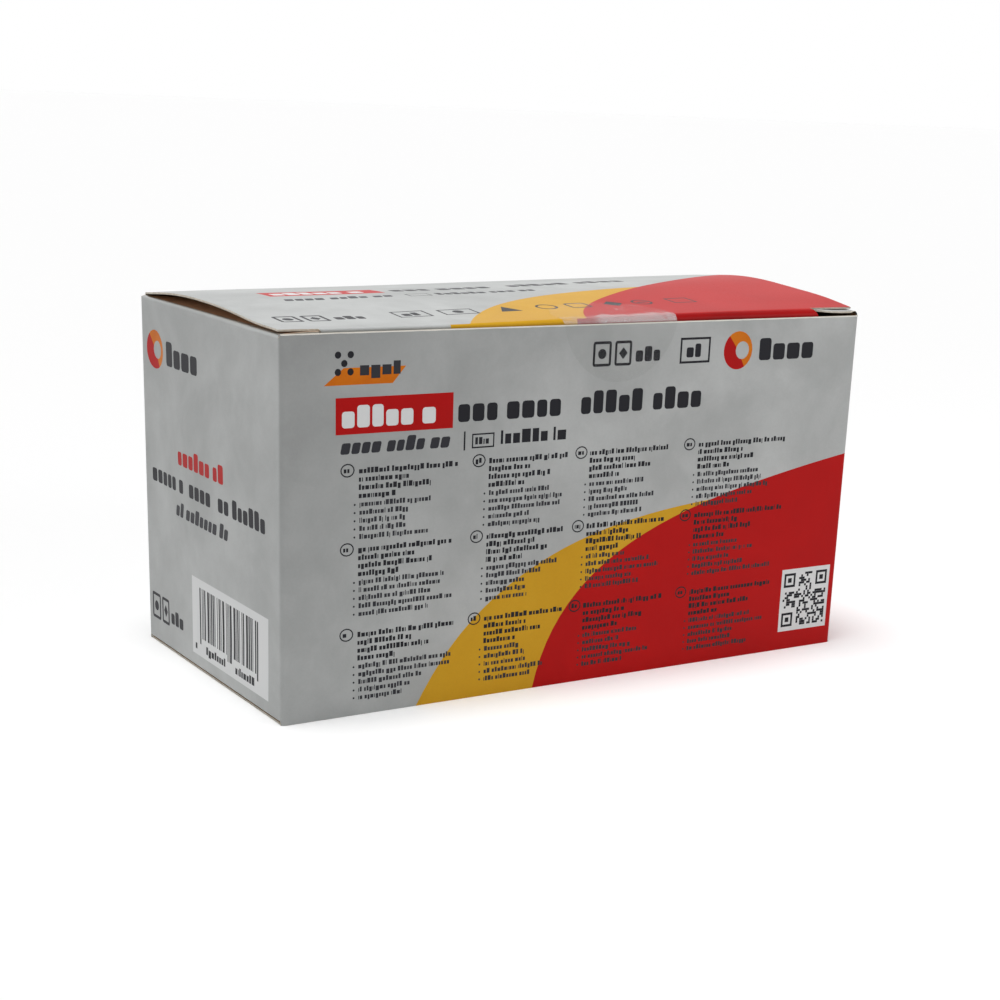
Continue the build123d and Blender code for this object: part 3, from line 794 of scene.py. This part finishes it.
def material(name, rough=0.4, spec=0.5, coat=0.0):
    m = bpy.data.materials.new(name)
    m.use_nodes = True
    nt = m.node_tree
    b = nt.nodes["Principled BSDF"]
    b.inputs["Roughness"].default_value = rough
    b.inputs["Specular IOR Level"].default_value = spec
    b.inputs["Coat Weight"].default_value = coat
    b.inputs["Coat Roughness"].default_value = 0.2
    return m, nt, b


def node(nt, kind, **vals):
    nd = nt.nodes.new(kind)
    for k, v in vals.items():
        if k in nd.inputs.keys():
            nd.inputs[k].default_value = v
        else:
            setattr(nd, k, v)
    return nd


def noise(nt, vec, scale, detail=3.0, rough=0.55, distort=0.0):
    nd = node(nt, "ShaderNodeTexNoise", Scale=scale, Detail=detail, Roughness=rough, Distortion=distort)
    nt.links.new(vec, nd.inputs["Vector"])
    return nd.outputs["Fac"]


def ramp(nt, fac, stops):
    nd = nt.nodes.new("ShaderNodeValToRGB")
    els = nd.color_ramp.elements
    while len(els) > 1:
        els.remove(els[-1])
    els[0].position, els[0].color = stops[0]
    for pos, col in stops[1:]:
        e = els.new(pos)
        e.color = col
    nt.links.new(fac, nd.inputs["Fac"])
    return nd.outputs["Color"]


def mix(nt, fac, a, b, how="MIX"):
    nd = nt.nodes.new("ShaderNodeMix")
    nd.data_type, nd.blend_type = "RGBA", how
    if isinstance(fac, float):
        nd.inputs["Factor"].default_value = fac
    else:
        nt.links.new(fac, nd.inputs["Factor"])
    for sock, val in ((nd.inputs[6], a), (nd.inputs[7], b)):
        if isinstance(val, tuple):
            sock.default_value = val
        else:
            nt.links.new(val, sock)
    return nd.outputs[2]


def math_node(nt, op, a, b=0.0, clamp=False):
    nd = nt.nodes.new("ShaderNodeMath")
    nd.operation, nd.use_clamp = op, clamp
    for sock, val in zip(nd.inputs, (a, b)):
        if isinstance(val, (int, float)):
            sock.default_value = val
        else:
            nt.links.new(val, sock)
    return nd.outputs[0]


def bumps(nt, b, height, strength, dist):
    nd = node(nt, "ShaderNodeBump", Strength=strength, Distance=dist)
    nt.links.new(height, nd.inputs["Height"])
    nt.links.new(nd.outputs[0], b.inputs["Normal"])


def place(nt):
    return nt.nodes.new("ShaderNodeTexCoord").outputs["Object"]


def sheet_feel(nt, b, vec, strength=0.22):
    """The coated board's faint orange peel and fibre."""
    peel = noise(nt, vec, 420.0, 2.0)
    fibre = noise(nt, vec, 2600.0, 3.0, 0.65)
    height = math_node(nt, "ADD", math_node(nt, "MULTIPLY", peel, 0.6), math_node(nt, "MULTIPLY", fibre, 0.4))
    bumps(nt, b, height, strength, 0.00006)
    rough = math_node(nt, "ADD", math_node(nt, "MULTIPLY", fibre, 0.16), b.inputs["Roughness"].default_value - 0.08)
    nt.links.new(rough, b.inputs["Roughness"])


def printed(name, cols, rough=0.42, spec=0.11, clouds=(34.0, 95.0), coat=0.0, painted_shade=False):
    """Ink on coated board: two or three close tones in soft clouds."""
    m, nt, b = material(name, rough, spec, coat)
    vec = place(nt)
    big = noise(nt, vec, clouds[0], 4.0, 0.55, 0.6)
    small = noise(nt, vec, clouds[1], 5.0, 0.6, 0.3)
    both = math_node(nt, "ADD", math_node(nt, "MULTIPLY", big, 0.62), math_node(nt, "MULTIPLY", small, 0.38))
    color = ramp(nt, both, cols)
    if painted_shade:
        # painted shade: the grey is darkened over the front's upper left, where the front panel gets less light
        sep = nt.nodes.new("ShaderNodeSeparateXYZ")
        nt.links.new(vec, sep.inputs[0])
        left = math_node(nt, "MULTIPLY", math_node(nt, "SUBTRACT", 0.02, sep.outputs["X"]), 11.0, True)
        high = math_node(nt, "MULTIPLY", math_node(nt, "ADD", sep.outputs["Z"], 0.005), 12.0, True)
        front = math_node(nt, "MULTIPLY", math_node(nt, "SUBTRACT", -0.0363, sep.outputs["Y"]), 3000.0, True)
        painted_shade_mask = math_node(nt, "MULTIPLY", math_node(nt, "MULTIPLY", left, high), front)
        color = mix(nt, math_node(nt, "MULTIPLY", painted_shade_mask, 0.36), color, (0.12, 0.12, 0.12, 1), "MIX")
    grain = noise(nt, vec, 2100.0, 2.0, 0.7)
    color = mix(nt, math_node(nt, "MULTIPLY", grain, 0.10), color, (0.02, 0.02, 0.02, 1), "MIX")
    nt.links.new(color, b.inputs["Base Color"])
    sheet_feel(nt, b, vec)
    return m


def plain_ink(name, rgb, rough=0.42):
    m, nt, b = material(name, rough, 0.11)
    b.inputs["Base Color"].default_value = lin(*rgb)
    return m


# the grey carries painted shade over the front's upper left
grey_m = printed("print_grey", [(0.28, lin(171, 173, 172)), (0.44, lin(181, 183, 182)), (0.55, lin(190, 192, 191)), (0.70, lin(202, 204, 203))], painted_shade=True)
red_m = printed("print_red", [(0.32, lin(176, 2, 2)), (0.52, lin(186, 3, 3)), (0.70, lin(194, 5, 4))], clouds=(26.0, 70.0))
yellow_m = printed("print_yellow", [(0.32, lin(208, 154, 26)), (0.52, lin(214, 162, 33)), (0.70, lin(222, 172, 44))], clouds=(26.0, 70.0))
dark_m = plain_ink("print_dark", (34, 34, 39))
soft_m = plain_ink("print_soft_dark", (52, 52, 57))
white_m = plain_ink("print_white", (224, 225, 225))
orange_m = printed("print_orange", [(0.35, lin(208, 104, 6)), (0.6, lin(222, 124, 14))], clouds=(60.0, 140.0))
# painted shade: darker red for the lid's front fold
fold_shade_red_m = printed("fold_painted_shade_red", [(0.32, lin(140, 0, 2)), (0.6, lin(168, 2, 4))], clouds=(26.0, 70.0), rough=0.42)
# painted highlight of the front panel's top rim
rim_highlight_m = plain_ink("rim_painted_highlight", (240, 237, 228), 0.8)


def raw_edge():
    m, nt, b = material("board_edge", 0.85, 0.25)
    vec = place(nt)
    color = ramp(nt, noise(nt, vec, 900.0, 4.0, 0.6),
                 [(0.30, lin(196, 187, 172)), (0.50, lin(208, 200, 186)), (0.72, lin(220, 214, 202))])
    nt.links.new(color, b.inputs["Base Color"])
    bumps(nt, b, noise(nt, vec, 2400.0, 3.0), 0.5, 0.00008)
    return m


def raw_inside():
    m, nt, b = material("board_inside", 0.8, 0.3)
    vec = place(nt)
    stretched = node(nt, "ShaderNodeMapping")
    stretched.inputs["Scale"].default_value = (1.0, 3.0, 1.0)
    nt.links.new(vec, stretched.inputs["Vector"])
    fibre = noise(nt, stretched.outputs[0], 700.0, 5.0, 0.7)
    color = ramp(nt, fibre, [(0.30, lin(176, 140, 110)), (0.52, lin(198, 162, 130)), (0.74, lin(214, 182, 150))])
    nt.links.new(color, b.inputs["Base Color"])
    bumps(nt, b, fibre, 0.35, 0.0001)
    return m


edge_m, inside_m = raw_edge(), raw_inside()
# painted shade: warm brown for the left dust flap in the shade under the lid
flap_shade_m = printed("flap_painted_shade", [(0.32, lin(206, 176, 150)), (0.52, lin(216, 188, 162)), (0.70, lin(226, 200, 176))], rough=0.6, clouds=(60.0, 220.0))
for m in (grey_m, red_m, yellow_m, dark_m, soft_m, white_m, orange_m, fold_shade_red_m, edge_m, inside_m, flap_shade_m, rim_highlight_m):
    mesh.materials.append(m)
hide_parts("carton")
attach(board, "root")

# ---------------------------------------------------------------------------
# The seal: a round clear film, folded over the front fold
# ---------------------------------------------------------------------------
SEAL_X, SEAL_UP, SEAL_R = 6.4, 2.4, 15.0
cols = np.linspace(SEAL_X - 15.5, SEAL_X + 15.5, 63)
path = []          # for each column, places at even steps of developed length
STEP, LOW, HIGH = 0.25, -13.0, 18.0
for x in cols:
    s_line = np.concatenate([np.linspace(S_FOOT, S_TOP, 33), np.linspace(S_TOP - 0.25, S_TOP - 19, 120)])
    surf = lid_at(np.full(len(s_line), x), s_line)[:, 1:]
    fr = fold(np.array([x + L / 2] * 2), np.array([79.9, 67.0]))
    cor = np.array([fr[0, 1], H])
    lean = (cor[0] - surf[:33, 0]) / np.maximum(surf[:33, 1] - cor[1], 1e-6)
    j = int(np.argmax(lean))
    down = np.linspace(13.2, 0.05, 60)
    wall = fold(np.full(60, x + L / 2), H - down)[:, 1:]
    pts = np.vstack([wall, [cor], surf[j:]])
    seg = np.concatenate([[0], np.cumsum(np.linalg.norm(np.diff(pts, axis=0), axis=1))])
    b = seg - seg[60]
    grid = np.arange(LOW, HIGH + 1e-9, STEP)
    path.append(np.column_stack([np.interp(grid, b, pts[:, 0]), np.interp(grid, b, pts[:, 1])]))
path = np.array(path)       # column, step, (y, z)


def on_film(x, b):
    i = np.clip((x - cols[0]) / (cols[1] - cols[0]), 0, len(cols) - 1.001)
    j = np.clip((b - LOW) / STEP, 0, path.shape[1] - 1.001)
    i0, j0 = i.astype(int), j.astype(int)
    u, v = (i - i0)[:, None], (j - j0)[:, None]
    yz = ((1 - u) * (1 - v) * path[i0, j0] + u * (1 - v) * path[i0 + 1, j0]
          + (1 - u) * v * path[i0, j0 + 1] + u * v * path[i0 + 1, j0 + 1])
    return np.column_stack([x, yz])


def film_lift(x, b):
    """How far the film stands off: wrinkles over the bridge, fine ridges beside."""
    span = bump(b, 0.6, 2.0)
    ridge = np.abs(waves(x * 1.0, b * 0.25, 41, 2.6))
    out = 0.016 + 0.030 * span * ridge
    out += 0.016 * np.maximum(waves(x, b, 43, 5.0), 0) ** 2
    # a faint crease with a bend on the front part
    for (x0, b0), (x1, b1) in (((-5.1, -1.1), (-4.2, -5.2)), ((-4.2, -5.2), (-1.1, -8.2))):
        dx, db = x1 - x0, b1 - b0
        t = np.clip(((x - x0) * dx + (b - b0) * db) / (dx * dx + db * db), 0, 1)
        d = np.hypot(x - x0 - t * dx, b - b0 - t * db)
        out += 0.022 * np.exp(-(d / 0.22) ** 2)
    return out


rings, around = 64, 168
fx, fb = [SEAL_X], [SEAL_UP]
for k in range(1, rings + 1):
    r = SEAL_R * k / rings
    for j in range(around):
        a = 2 * math.pi * (j + 0.5 * (k % 2)) / around
        fx.append(SEAL_X + r * math.cos(a))
        fb.append(SEAL_UP + r * math.sin(a))
fx, fb = np.array(fx), np.array(fb)


def film_place(x, b):
    e = 0.02
    mid_pt = on_film(x, b)
    nn = np.cross(on_film(x + e, b) - on_film(x - e, b), on_film(x, b + e) - on_film(x, b - e))
    nn /= np.linalg.norm(nn, axis=1)[:, None]
    return mid_pt, nn


base_pt, fn = film_place(fx, fb)
lift = film_lift(fx, fb)
top_pt = base_pt + fn * (lift + 0.030)[:, None]
low_pt = base_pt + fn * (lift - 0.006)[:, None]
top_pt[:, 1] = np.maximum(top_pt[:, 1], -37.095)
m_count = len(fx)
film_faces = []
for j in range(around):
    film_faces.append((0, 1 + j, 1 + (j + 1) % around))
for k in range(1, rings):
    a0, b0 = 1 + (k - 1) * around, 1 + k * around
    for j in range(around):
        j1 = (j + 1) % around
        if k % 2:
            film_faces += [(a0 + j, b0 + j, b0 + j1), (a0 + j, b0 + j1, a0 + j1)]
        else:
            film_faces += [(a0 + j, b0 + j, a0 + j1), (a0 + j1, b0 + j, b0 + j1)]
down_faces = [(c + m_count, b + m_count, a + m_count) for a, b, c in film_faces]
last = 1 + (rings - 1) * around
side_faces = [(last + j, last + j + m_count, last + (j + 1) % around + m_count, last + (j + 1) % around)
              for j in range(around)]
film_mesh = bpy.data.meshes.new("seal_film")
film_mesh.from_pydata((np.vstack([top_pt, low_pt]) * MM).tolist(), [], film_faces + down_faces + side_faces)
film_mesh.polygons.foreach_set("use_smooth", np.ones(len(film_mesh.polygons), bool))
film_mesh.update()
film_uv = film_mesh.uv_layers.new(name="OFBake")
fuv = np.column_stack([(fx - SEAL_X) / 66 + 0.25, (fb - SEAL_UP) / 66 + 0.75])
fuv = np.vstack([fuv, fuv + [0.5, 0.0]])
fl = np.zeros(len(film_mesh.loops), np.int32)
film_mesh.loops.foreach_get("vertex_index", fl)
film_uv.data.foreach_set("uv", fuv[fl].ravel())
film = bpy.data.objects.new("seal_film", film_mesh)
scene.collection.objects.link(film)


def clear_film():
    m, nt, b = material("clear_film", 0.16, 0.7)
    vec = place(nt)
    sep = nt.nodes.new("ShaderNodeSeparateXYZ")
    nt.links.new(vec, sep.inputs[0])
    # nearly clear on both panels, milky in patches where the film bridges the fold
    up = math_node(nt, "SUBTRACT", sep.outputs["Z"], 0.0800)
    lid = math_node(nt, "MULTIPLY", up, 3000.0, True)
    depth = math_node(nt, "ADD", sep.outputs["Y"], 0.0370)
    near = math_node(nt, "SUBTRACT", 1.0, math_node(nt, "MULTIPLY", depth, 230.0, True), True)
    wave = noise(nt, vec, 170.0, 3.0, 0.55, 0.8)
    patch = math_node(nt, "MULTIPLY", math_node(nt, "SUBTRACT", math_node(
        nt, "ADD", math_node(nt, "MULTIPLY", near, 0.42), math_node(nt, "MULTIPLY", wave, 0.9)), 0.52), 5.0, True)
    right = math_node(nt, "MULTIPLY", math_node(nt, "SUBTRACT", sep.outputs["X"], -0.0005), 500.0, True)
    right = math_node(nt, "ADD", math_node(nt, "MULTIPLY", right, 0.55), 0.45)
    milk = math_node(nt, "MULTIPLY", math_node(nt, "MULTIPLY", patch, right), 0.24)
    fine = noise(nt, vec, 1300.0, 3.0, 0.6, 0.4)
    streak = math_node(nt, "MULTIPLY", math_node(nt, "SUBTRACT", fine, 0.60), 4.0, True)
    milk = math_node(nt, "ADD", milk, math_node(nt, "MULTIPLY", math_node(nt, "MULTIPLY", streak, near), 0.22))
    alpha = math_node(nt, "ADD", math_node(nt, "MULTIPLY", milk, lid), 0.026, True)
    nt.links.new(alpha, b.inputs["Alpha"])
    # painted shade: the film is tinted dark grey where it lies on the front panel, and near white on the lid
    film_tint_painted_shade = mix(nt, lid, (0.24, 0.24, 0.22, 1), (0.88, 0.86, 0.86, 1))
    nt.links.new(film_tint_painted_shade, b.inputs["Base Color"])
    bumps(nt, b, noise(nt, vec, 190.0, 2.0, 0.5, 0.6), 0.12, 0.0004)
    return m


film_mesh.materials.append(clear_film())
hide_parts("seal_label")
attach(film, "root")

# ---------------------------------------------------------------------------
# Floor, light and camera
# ---------------------------------------------------------------------------
floor_mesh = bpy.data.meshes.new("floor")
floor_mesh.from_pydata([(-40, -40, 0), (40, -40, 0), (40, 40, 0), (-40, 40, 0)], [], [(0, 1, 2, 3)])
floor = bpy.data.objects.new("floor", floor_mesh)
scene.collection.objects.link(floor)
fm, fnt, fbs = material("floor_paper", 0.9, 0.1)
fbs.inputs["Base Color"].default_value = (0.98, 0.98, 0.98, 1)
floor_mesh.materials.append(fm)

world = bpy.data.worlds.new("studio")
scene.world = world
world.use_nodes = True
wt = world.node_tree
bg = wt.nodes["Background"]
bg.inputs["Color"].default_value = (1.0, 1.0, 1.0, 1)
rays = wt.nodes.new("ShaderNodeLightPath")
level = wt.nodes.new("ShaderNodeMapRange")
level.inputs["To Min"].default_value = 1.0
level.inputs["To Max"].default_value = 0.10
wt.links.new(rays.outputs["Is Diffuse Ray"], level.inputs["Value"])
wt.links.new(level.outputs[0], bg.inputs["Strength"])


def sun(name, direction, strength, angle):
    d = bpy.data.lights.new(name, "SUN")
    d.energy, d.angle = strength, math.radians(angle)
    o = bpy.data.objects.new(name, d)
    o.rotation_mode = "QUATERNION"
    o.rotation_quaternion = Vector(direction).to_track_quat("Z", "Y")
    scene.collection.objects.link(o)


def softbox(name, at, size, power):
    d = bpy.data.lights.new(name, "AREA")
    d.shape, d.size, d.energy = "DISK", size, power
    o = bpy.data.objects.new(name, d)
    o.location = at
    o.rotation_mode = "QUATERNION"
    o.rotation_quaternion = Vector(at).to_track_quat("Z", "Y")
    o.visible_camera = False
    scene.collection.objects.link(o)


sun("overhead", (-0.12, -0.03, 1.0), 2.84, 30)
softbox("front_right", (0.32, -0.34, 0.22), 0.16, 0.28)
softbox("left_low", (-0.62, 0.10, 0.10), 0.30, 0.06)

cam_data = bpy.data.cameras.new("camera")
cam_data.sensor_width, cam_data.lens = 36.0, 65.708
cam_data.shift_x, cam_data.shift_y = -0.0427383, 0.2135083
cam_data.clip_start, cam_data.clip_end = 0.01, 100
cam = bpy.data.objects.new("camera", cam_data)
right = Vector((0.84181218, -0.53831231, 0.03964975))
down = Vector((-0.13847073, -0.28637035, -0.94806006))
look = Vector((0.52170692, 0.79259818, -0.31561055))
pose = Matrix.Identity(4)
for i in range(3):
    pose[i][0], pose[i][1], pose[i][2] = right[i], -down[i], -look[i]
pose[0][3], pose[1][3], pose[2][3] = -0.2256, -0.364519, 0.123865
cam.matrix_world = pose
scene.collection.objects.link(cam)
scene.camera = cam
scene.view_settings.view_transform = "Standard"

bpy.context.view_layer.update()
